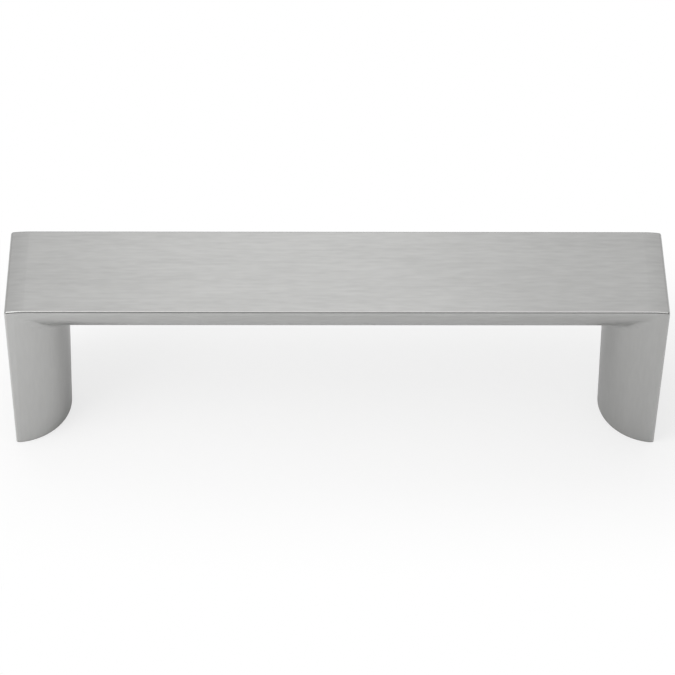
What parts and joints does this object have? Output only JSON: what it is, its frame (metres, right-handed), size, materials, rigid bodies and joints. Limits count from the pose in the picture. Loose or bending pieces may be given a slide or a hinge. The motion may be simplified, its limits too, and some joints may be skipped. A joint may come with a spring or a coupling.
{
  "type": "cabinet pull",
  "caption": "Flat-topped rectangular bar pull for a drawer or cabinet door, half-round on its inner sides, with drafted legs and tapped screw holes in its feet.",
  "frame": {"origin": "midway between the two screw holes, in the plane that the feet bear on", "axes": "+X along the bar, +Y across it, +Z from the drawer front out to the bar's flat top"},
  "size_m": [0.104, 0.018, 0.0308],
  "materials": {
    "satin_nickel": "nickel plate, brushed along the bar and down the legs to a satin sheen"
  },
  "bodies": {
    "root": {"pull_body": "satin_nickel"}
  },
  "joints": []
}
